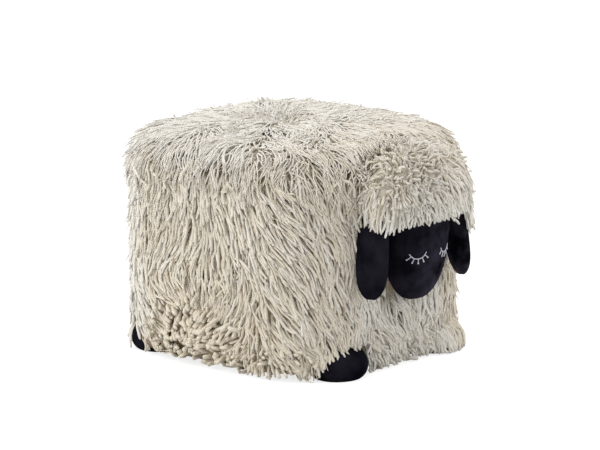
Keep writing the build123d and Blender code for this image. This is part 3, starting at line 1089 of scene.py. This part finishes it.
cap_roots = cap_roots[block_distance(cap_roots) > -5 * MM]
count = len(cap_roots)
height = cap_roots[:, 2]
near_whorl = crown_share(cap_roots, 38 * MM)
far_side = ramp(cap_roots[:, 0], 10 * MM, 90 * MM)
length = rng.uniform(*cap_lengths, count) * MM * (1 - 0.45 * near_whorl)
level = (rng.uniform(*cap_levels, count) - 4 * far_side * (height > 262 * MM)) * MM
flick = level + rng.uniform(*cap_lifts, count) * MM * ramp(height, 250 * MM, 290 * MM)
flick, wisps = with_wisps(flick, 0.10 + 0.16 * far_side, 4, 15)
length[wisps] *= 1.3
upright = 0.45 + 1.2 * near_whorl
cap_paths = traced(cap_roots, wool_distance, cap_flow, length, upright, level, flick, 0.14)
cap_paths = clumped(cap_paths, cap_roots, 12 * MM)

over_right = ramp(-cap_paths[..., 0], *right_ear_zone)
over_left = ramp(cap_paths[..., 0], *left_ear_zone)
trim = trim_level - lower_right * over_right - lower_left * over_left
trim = trim + (rng.normal(size=count) * trim_ragged * MM)[:, None]
cap_end = first_true(cap_paths[..., 2] < trim)
long_enough = cap_end > 4
cap_roots = cap_roots[long_enough]
cap_yarns = thinned_paths(cap_paths[long_enough], cap_end[long_enough])
cap_thick = thickness["cap"] * np.where(wisps, 0.55, 1.0)[long_enough]
cap_taper = np.where(wisps, 0.5, 0.15)[long_enough]
print("cap yarns", len(cap_yarns), "of them lifted", int(wisps[long_enough].sum()))

# %% Cap pieces and fringe pieces
ear_root_inner = 68 * MM
ear_root_half = 38 * MM
above_hinge = 4 * MM
hinge_y = ear_hinge["left_ear"].y
hinge_z = ear_hinge["left_ear"].z
at_root = np.abs(cap_yarns[..., 0]) > ear_root_inner
at_root &= np.abs(cap_yarns[..., 1] - hinge_y) < ear_root_half
at_root &= cap_yarns[..., 2] < hinge_z + above_hinge
over_root = at_root.any(1)
free = ~over_root
yarn_pieces("head_wool_pile", cap_yarns[free], cap_roots[free], cap_thick[free], cap_taper[free])

crown_roots = scatter(["head_wool_cap"], root_spacing["crown"], cap_distance)
crown_roots = crown_roots[block_distance(crown_roots) > 0]
share = np.clip(2.0 * crown_share(crown_roots, 54 * MM) - 0.3, 0.05, 1)
crown_roots = chosen_share(crown_roots, share)
standing = thinned_paths(standing_yarns(crown_roots, cap_distance, cap_flow, 0.5))
yarn_pieces("head_standing_pile", standing, crown_roots, thickness["crown"])

for ear, side in (("left_ear", 1), ("right_ear", -1)):
    chosen = over_root & (cap_yarns[:, -1, 0] * side > 0)
    yarns, roots = cap_yarns[chosen], cap_roots[chosen]
    fringe = yarn_pieces(f"wool_fringe_{ear}", yarns, roots, thickness["cap"], body=None)[0]
    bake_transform(fringe)

# %% [markdown]
# ## The felted ground
# Below the yarns is the cloth that they are tufted into. It is the solids' own form drawn in by
# the depth of the pile, so that it shows only in the gaps between the yarns. Its dark, brownish
# colour is painted shade for those gaps, and it is pale on the cap and painted pale for the light
# on the seat and the rear.

# %% Ground of the block and the cap
ground_depth = 6 * MM
ground_hem = 11 * MM


def merged_copy(node):
    """A copy of a solid's mesh with its corners joined."""
    form = bmesh.new()
    form.from_mesh(nodes[node].data)
    bmesh.ops.remove_doubles(form, verts=form.verts, dist=1e-5)
    return form


def ground_piece(name, node, distance, felt):
    """The wool's ground: a solid whose outer face is drawn in below the yarns."""
    form = merged_copy(node)
    places = np.array([vert.co for vert in form.verts])
    level = distance(places)
    inward = outward(places, distance) * (np.abs(level) < 6 * MM)[:, None] * ground_depth
    for vert, shift in zip(form.verts, inward):
        vert.co -= Vector(shift)
        vert.co.z = max(vert.co.z, ground_hem)
    for face in form.faces:
        face.smooth = True
    mesh = bpy.data.meshes.new(name)
    form.to_mesh(mesh)
    form.free()
    piece = keep(name, mesh, felt)
    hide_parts(node)


# The rear side's ground is painted pale for the light from behind, and the other sides' is painted
# dark as shade.
for node in band_nodes:
    felt = pale_felt if node == "wool_side_rear" else gap_shade_felt
    ground_piece(f"{node}_ground", node, block_distance, felt)
ground_piece("wool_top_panel_ground", "wool_top_panel", block_distance, pale_felt)
ground_piece("head_wool_ground", "head_wool_cap", cap_distance, pale_felt)
print("grounds made")

# %% [markdown]
# ## Stuffed velvet
# The head, the ears and the feet are bags of velvet packed with fibre. Cloth under pressure
# takes that form by itself: each solid's outside is remeshed into even cells, drawn in a
# little, and blown up for twenty frames, all seven at once. What a point may move is capped.
# Subdivision smooths the result. Wherever that drew the velvet inside its solid, the point goes
# back out to the solid's surface, so that no stuffing shows.

# %% Skins of even cells
voxel = 4 * MM
drawn_in = 0.4 * MM
swell_limits = {"head": 1.8 * MM, "ear": 1.0 * MM, "foot": 2.0 * MM}
pressure = 4.0
frames = 20
foot_covers = [f"foot_{name}_cover" for name in feet]


def outside_only(form):
    """Remove the inner wall of a hollow solid."""
    seed = max(form.verts, key=lambda vert: vert.co.z)
    seen = {seed}
    front = [seed]
    while front:
        vert = front.pop()
        for edge in vert.link_edges:
            other = edge.other_vert(vert)
            if other not in seen:
                seen.add(other)
                front.append(other)
    inner = [vert for vert in form.verts if vert not in seen]
    bmesh.ops.delete(form, geom=inner, context="VERTS")


def even_skin(name, form):
    """Object whose mesh has even cells, a little inside the form."""
    mesh = bpy.data.meshes.new(name)
    form.to_mesh(mesh)
    form.free()
    skin = placed(name, mesh)
    remesh = skin.modifiers.new("even cells", "REMESH")
    remesh.mode = "VOXEL"
    remesh.voxel_size = voxel
    even = evaluated_mesh(skin)
    form = bmesh.new()
    form.from_mesh(even)
    form.normal_update()
    for vert in form.verts:
        vert.co -= vert.normal * drawn_in
    form.to_mesh(even)
    form.free()
    return placed(name, even)


# %% Cloth under pressure
def blown_up(skins):
    """Run the cloth on all skins together and move their points out, within their limits."""
    starts = {}
    for skin in skins:
        starts[skin.name] = [vert.co.copy() for vert in skin.data.vertices]
        cloth = skin.modifiers.new("velvet", "CLOTH")
        cloth.settings.quality = 5
        cloth.settings.use_pressure = True
        cloth.settings.uniform_pressure_force = pressure
        cloth.settings.effector_weights.gravity = 0
        cloth.point_cache.frame_start = 1
        cloth.point_cache.frame_end = frames
    scene = bpy.context.scene
    for frame_number in range(1, frames + 1):
        scene.frame_set(frame_number)
    graph = bpy.context.evaluated_depsgraph_get()
    for skin in skins:
        swollen = skin.evaluated_get(graph).data
        moved = [vert.co.copy() for vert in swollen.vertices]
        skin.modifiers.clear()
        shifts = [end - start for start, end in zip(starts[skin.name], moved)]
        drift = sum(shifts, Vector()) / len(shifts)
        limit = swell_limits[skin.name.split("_")[0]]
        swell = 0
        for vert, start, shift in zip(skin.data.vertices, starts[skin.name], shifts):
            normal = vert.normal.copy()
            along = min(max((shift - drift).dot(normal), 0), limit)
            vert.co = start + normal * along
            swell += along / len(shifts)
        print(skin.name, "drift", round(drift.length / MM, 2), "swell", round(swell / MM, 2), "mm")
    scene.frame_set(1)


def smoothed_mesh(skin, levels):
    """Mesh of a skin after subdivision. The object that held it goes."""
    smooth = skin.modifiers.new("smooth", "SUBSURF")
    smooth.levels = levels
    smooth.render_levels = levels
    mesh = evaluated_mesh(skin)
    for polygon in mesh.polygons:
        polygon.use_smooth = True
    return mesh


# %% Blow up the velvet pieces
skins = {}
solid_trees = {}
for node in ("head_cover", "ear_left_cover", "ear_right_cover", *foot_covers):
    form = merged_copy(node)
    if node in foot_covers:
        hull = bmesh.ops.convex_hull(form, input=form.verts)
        bmesh.ops.delete(form, geom=hull["geom_interior"] + hull["geom_unused"], context="VERTS")
        form.normal_update()
    else:
        outside_only(form)
    solid_trees[node] = BVHTree.FromBMesh(form)
    skins[node] = even_skin(node.replace("_cover", "_velvet"), form)
blown_up(list(skins.values()))
print("velvet skins", {skin.name: len(skin.data.vertices) for skin in skins.values()})

# %% [markdown]
# ## Seams and puckers
# An ear is two lobes sewn together and turned, so a seam runs round its rim, and a foot's upper
# is sewn to its sole. A seam draws the cloth in along a line. The embroidered eyes pull the
# face in a little too. These are small moves of the points along their normals.

# %% Sizes of seams and eyes
seam_depth = 0.7 * MM
skin_lift = 0.15 * MM
seam_width = 1.5 * MM
ear_splay = math.radians(7)
ear_lean = math.radians(3)
eye_middle_x = (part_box("eyelash_left")[0].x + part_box("eyelash_left")[1].x) / 2
eye_radius = 16 * MM
eye_half_angle = math.radians(62)
eye_centre_z = 192 * MM
print("eyes lie", round(eye_middle_x / MM, 1), "mm from the middle")


# %% Moves of the velvet's points
def moved_along_normals(mesh, shift):
    """Move each point along its normal by what a function of places and normals gives."""
    count = len(mesh.vertices)
    places = np.zeros(count * 3, np.float32)
    mesh.vertices.foreach_get("co", places)
    places = places.reshape(-1, 3).astype(float)
    normals = np.array([vert.normal for vert in mesh.vertices])
    places += normals * shift(places, normals)[:, None]
    mesh.vertices.foreach_set("co", places.ravel())
    mesh.update()


def pushed_out(mesh, tree):
    """Move every point that lies inside a solid out to its surface."""
    for vert in mesh.vertices:
        place, normal, _, _ = tree.find_nearest(vert.co)
        short = skin_lift - (vert.co - place).dot(normal)
        if short > 0:
            vert.co += normal * short
    mesh.update()


def ear_seam(ear):
    """Groove round the rim of a hanging ear, gathers below its root, and slack."""
    hinge = ear_hinge[ear]
    side = 1 if hinge.x > 0 else -1
    run = Vector((side * math.sin(ear_splay), -math.sin(ear_lean), 0))
    run.z = -math.sqrt(1 - run.x**2 - run.y**2)
    thick = Vector((0, 1, 0)).cross(run).normalized()
    hinge, run, thick = (np.array(value) for value in (hinge, run, thick))

    def shift(places, normals):
        off = places - hinge
        across = off @ thick
        down = off @ run
        rim = bell(across, 0, seam_width) * (np.abs(normals @ thick) < 0.75)
        gather = 0.45 * MM * np.sin(off[:, 1] / (5.5 * MM)) * bell(down, 6 * MM, 14 * MM)
        slack = slow_noise(places, 42 * MM, seed=11)[:, 0] * 0.5 * MM
        return -seam_depth * rim + gather + slack

    return shift


def foot_seam(places, normals):
    """Groove where a foot's upper meets its sole, with small gathers above it."""
    height = places[:, 2]
    low = bell(height, 3.2 * MM, 1.6 * MM) * (normals[:, 2] > -0.8)
    folds = slow_noise(places, 24 * MM, seed=12)[:, 0] * 0.6 * MM * ramp(height, 4 * MM, 14 * MM)
    return -seam_depth * low + folds


def face_puckers(places, normals):
    """Cloth drawn in along the embroidered eyes, and slack elsewhere."""
    away = np.abs(places[:, 0]) - eye_middle_x
    height = places[:, 2] - eye_centre_z
    ring = np.abs(np.hypot(away, height) - eye_radius)
    angle = np.abs(np.arctan2(away, -height))
    past_end = np.maximum(angle - eye_half_angle, 0) * eye_radius
    near = np.hypot(ring, past_end)
    front = normals[:, 1] < -0.3
    slack = slow_noise(places, 60 * MM, seed=13)[:, 0] * 0.8 * MM
    creases = slow_noise(places, 17 * MM, seed=14)[:, 1] * 0.3 * MM * bell(near, 0, 9 * MM)
    return (-seam_depth * bell(near, 0, 2.6 * MM) + creases) * front + slack


# %% Finish the velvet pieces
for node, skin in skins.items():
    name = skin.name
    mesh = smoothed_mesh(skin, 2)
    body = "pouf"
    if node.startswith("ear"):
        body = "left_ear" if "left" in node else "right_ear"
        moved_along_normals(mesh, ear_seam(body))
    else:
        moved_along_normals(mesh, foot_seam if node in foot_covers else face_puckers)
    pushed_out(mesh, solid_trees[node])
    for vert in mesh.vertices:
        vert.co.z = max(vert.co.z, above_floor)
    low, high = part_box(node)
    proud = [max(vert.co[axis] for vert in mesh.vertices) - high[axis] for axis in range(3)]
    print(name, "stands proud by", [round(value / MM, 1) for value in proud], "mm")
    velvet_piece = keep(name, mesh, velvet, body=body)
    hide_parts(node)
print("velvet pieces made")

# %% [markdown]
# ## Embroidered eyes
# A closed eye is a line of satin stitch: short threads side by side across the line, each one
# slightly raised in its middle. The lashes widen towards their tips. Every thread lies on the
# face, so its ends are dropped straight back onto the velvet.

# %% Stitches on the face
thread_radius = 0.36 * MM
stitch_pitch = 0.68 * MM
line_width = 0.9 * MM
lash_length = 7.5 * MM
lash_root_width = 0.6 * MM
lash_tip_width = 2.6 * MM
lash_gap = 0.6 * MM
lash_angles = [math.radians(angle) for angle in (-46, -23, 0, 23, 46)]
arc_parts = 16
stitch_lifts = (-0.1 * MM, 0.75 * MM, -0.1 * MM)
before_face = -0.4
head_mesh = pieces["head_velvet"].data
head_tree = BVHTree.FromPolygons(
    [vert.co for vert in head_mesh.vertices],
    [tuple(polygon.vertices) for polygon in head_mesh.polygons],
)


def on_face(x, z, lift):
    """Point on the face at a place seen from the front, raised by a lift."""
    hit, normal, _, _ = head_tree.ray_cast(Vector((x, before_face, z)), Vector((0, 1, 0)))
    return hit + normal * lift


def stitches_along(start, end, start_width, end_width, centre_x):
    """Threads across a line between two places of the face."""
    run = end - start
    across = Vector((-run.y, run.x)).normalized()
    amount = max(2, round(run.length / stitch_pitch))
    threads = []
    for index in range(amount + 1):
        share = index / amount
        middle = start + run * share
        half = across * (start_width + (end_width - start_width) * share**2) / 2
        slant = run.normalized() * 0.35 * MM
        ends = (middle - half - slant, middle, middle + half + slant)
        threads.append([on_face(centre_x + p.x, p.y, lift) for p, lift in zip(ends, stitch_lifts)])
    return threads


def eye_stitches(centre_x):
    """All threads of one closed eye."""
    turns = np.linspace(-eye_half_angle, eye_half_angle, arc_parts + 1)
    arc = [Vector((math.sin(a), -math.cos(a))) * eye_radius for a in turns]
    middle = Vector((0, eye_centre_z))
    threads = []
    for first, second in zip(arc, arc[1:]):
        threads += stitches_along(middle + first, middle + second, line_width, line_width, centre_x)
    for angle in lash_angles:
        way = Vector((math.sin(angle), -math.cos(angle)))
        root = middle + way * (eye_radius + lash_gap)
        tip = middle + way * (eye_radius + lash_length)
        threads += stitches_along(root, tip, lash_root_width, lash_tip_width, centre_x)
    return threads


def thread_mesh(name, threads, radius, sides=2):
    """Round threads along short paths."""
    curve = bpy.data.curves.new(name, "CURVE")
    curve.dimensions = "3D"
    curve.bevel_depth = radius
    curve.bevel_resolution = sides
    curve.use_fill_caps = True
    for path in threads:
        spline = curve.splines.new("BEZIER")
        spline.bezier_points.add(len(path) - 1)
        for point, place in zip(spline.bezier_points, path):
            point.co = place
            point.handle_left_type = "AUTO"
            point.handle_right_type = "AUTO"
        spline.resolution_u = 3
    return welded(evaluated_mesh(placed(name, curve)))


for side, name in ((1, "left"), (-1, "right")):
    threads = eye_stitches(side * eye_middle_x)
    mesh = thread_mesh(f"eye_stitches_{name}", threads, thread_radius)
    eye = keep(f"eye_stitches_{name}", mesh, eye_thread)
    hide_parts(f"eyelash_{name}")
    print("eye", name, len(threads), "stitches")

# %% [markdown]
# ## The solids that keep their shape
# The base, the soles, the zip and what is packed inside have their true form already. They only
# need their finishes.

# %% Dress the kept solids
kept_solids = {
    canvas: ("base_panel_front", "base_panel_rear"),
    lining: ("inner_bag",),
    beads: ("bead_filling",),
    wadding: ("head_filling", "ear_left_wadding", "ear_right_wadding",
              *(f"foot_{name}_filling" for name in feet)),
    velvet: tuple(f"foot_{name}_sole" for name in feet),
    tape_cloth: ("zip_tape_front", "zip_tape_rear"),
    teeth_plastic: ("zip_teeth_front", "zip_teeth_rear"),
    slider_metal: ("zip_slider", "zip_pull", "zip_stop_left", "zip_stop_right"),
}

for material, names in kept_solids.items():
    for node in names:
        solid = nodes[node]
        if not solid.material_slots:
            solid.data.materials.append(material)
        for slot in solid.material_slots:
            slot.material = material
    print(material.name, "on", len(names), "solids")

# %% [markdown]
# ## Stitching on the base
# Two rows of lockstitch hold each tape to the canvas. Each stitch is a short thread with both
# ends pulled into the cloth.

# %% Stitch rows beside the zip
row_pitch = 3.2 * MM
row_thread = 0.32 * MM
row_distances = (8.7 * MM, 12.4 * MM)
row_inset = 3 * MM
stitch_share = 0.8
stitch_bulge = 0.42 * MM
panel_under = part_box("base_panel_front")[0].z
tape_low, tape_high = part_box("zip_tape_rear")
rows = []
for side in (-1, 1):
    for distance in row_distances:
        row_y = body_middle.y + side * distance
        for x in np.arange(tape_low.x + row_inset, tape_high.x - row_inset, row_pitch):
            first = Vector((x, row_y, panel_under + 0.1 * MM))
            last = first + Vector((row_pitch * stitch_share, 0, 0))
            middle = (first + last) / 2 - Vector((0, 0, stitch_bulge))
            rows.append((first, middle, last))
row_mesh = thread_mesh("base_stitches", rows, row_thread, 1)
keep("base_stitches", row_mesh, eye_thread)
print("base stitches", len(rows))

# %% [markdown]
# ## Floor, light and camera
# The photograph has a white ground and soft light from above and behind on the left. A wide
# lamp overhead and a strong one at the rear give that, and two weak ones fill the shadows. The
# floor is pale, and to the camera it also glows a little, so that it renders white and still
# keeps the shadow.

# %% Stage
floor_size = 12.0
glow = 0.78
floor_form = bmesh.new()
bmesh.ops.create_grid(floor_form, x_segments=2, y_segments=2, size=floor_size)
floor_mesh = bpy.data.meshes.new("floor")
floor_form.to_mesh(floor_mesh)
floor_form.free()
floor = placed("floor", floor_mesh)

paper = Finish("white paper")
camera_ray, glossy_ray, through_ray = (
    paper.node("ShaderNodeLightPath", output=index) for index in (0, 3, 6)
)
seen = (camera_ray + glossy_ray + through_ray).clamped()
dull = paper.node("ShaderNodeBsdfDiffuse", sockets={"Color": (0.80, 0.80, 0.80, 1.0)})
shade = paper.node("ShaderNodeBsdfDiffuse", sockets={"Color": (0.42, 0.42, 0.42, 1.0)})
light = paper.node("ShaderNodeEmission", sockets={"Color": (1, 1, 1, 1), "Strength": glow})
bright = paper.node("ShaderNodeAddShader", sockets={0: shade, 1: light})
surface = paper.node("ShaderNodeMixShader", sockets={0: seen, 1: dull, 2: bright})
paper.node("ShaderNodeOutputMaterial", sockets={"Surface": surface})
floor_mesh.materials.append(paper.material)
floor_reach = max(vert.co.x for vert in floor_mesh.vertices)
print("floor reaches", floor_reach, "m to each side")

# %% Lamps and world
def soft_lamp(name, place, aim, size, power):
    """Square area lamp that points at a place."""
    data = bpy.data.lights.new(name, "AREA")
    data.shape = "SQUARE"
    data.size = size
    data.energy = power
    lamp = placed(name, data)
    lamp.location = place
    lamp.rotation_euler = (Vector(aim) - Vector(place)).to_track_quat("-Z", "Y").to_euler()


middle = Vector((0, body_middle.y, 0.16))
soft_lamp("overhead", (0.2, 0.3, 3.0), middle, 3.0, 28)
soft_lamp("rear left", (-2.6, 1.7, 1.7), middle, 2.6, 70)
soft_lamp("front", (0.9, -2.6, 2.0), middle, 2.0, 26)
soft_lamp("right", (2.8, -0.3, 1.1), middle, 1.6, 17)

world_light = 0.62
world = bpy.data.worlds.new("studio")
world.use_nodes = True
bpy.context.scene.world = world
sky = world.node_tree.nodes["Background"]
sky.inputs["Color"].default_value = (1, 1, 1, 1)
sky.inputs["Strength"].default_value = world_light
bpy.context.scene.view_settings.view_transform = "Standard"
print("lamps", len(bpy.data.lights))

# %% Camera
azimuth = math.radians(-50)
elevation = math.radians(13)
picture_width = 0.9
camera_distance = 8.0
picture_height = 0.182
picture_shift = 10.5
right = Vector((math.cos(azimuth), math.sin(azimuth), 0))
picture_middle = Vector((0, body_middle.y, picture_height)) + right * picture_shift * MM
toward_camera = Vector((
    math.sin(azimuth) * math.cos(elevation),
    -math.cos(azimuth) * math.cos(elevation),
    math.sin(elevation),
))

lens = bpy.data.cameras.new("camera")
lens.sensor_width = 36
lens.lens = lens.sensor_width * camera_distance / picture_width
lens.clip_end = 60
camera = placed("camera", lens)
camera.location = picture_middle + toward_camera * camera_distance
camera.rotation_euler = (-toward_camera).to_track_quat("-Z", "Y").to_euler()
bpy.context.scene.camera = camera
print("camera stands at", [round(c, 2) for c in camera.location])
